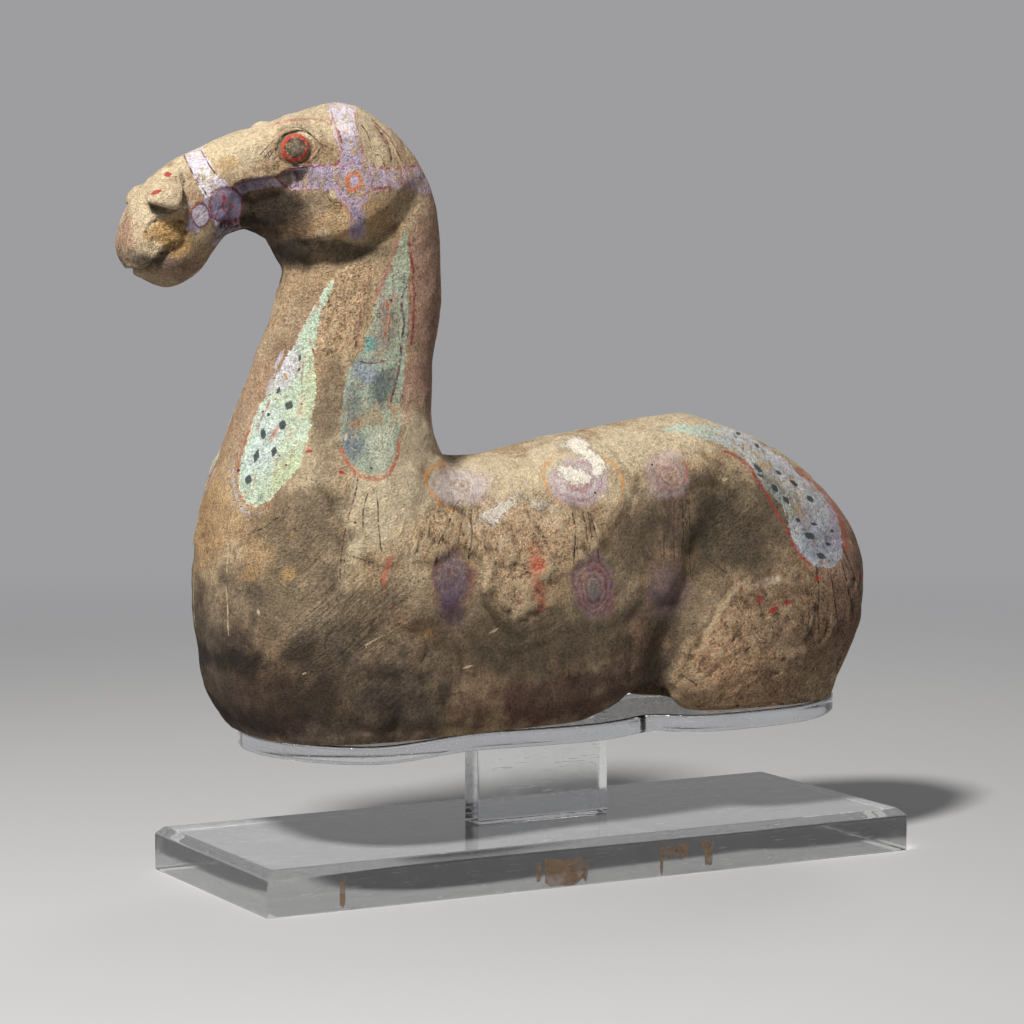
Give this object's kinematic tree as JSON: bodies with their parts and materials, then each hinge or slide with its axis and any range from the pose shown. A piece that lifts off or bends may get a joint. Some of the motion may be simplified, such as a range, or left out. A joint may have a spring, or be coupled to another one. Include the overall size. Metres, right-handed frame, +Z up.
{
  "type": "pottery horse figure on a clear stand",
  "caption": "Painted pottery horse with its legs lost, resting on a clear acrylic cradle plate, column and bevelled foot.",
  "frame": {"origin": "middle of the underside of the stand's foot", "axes": "+X runs from the muzzle to the rump, -Y is the horse's left side, +Z is up"},
  "size_m": [0.71, 0.236, 0.6543],
  "materials": {
    "pottery": "matt, weathered and painted",
    "acrylic": "clear and polished"
  },
  "bodies": {
    "root": {"horse": "pottery", "cradle_plate": "acrylic", "column": "acrylic", "foot": "acrylic"}
  },
  "joints": []
}
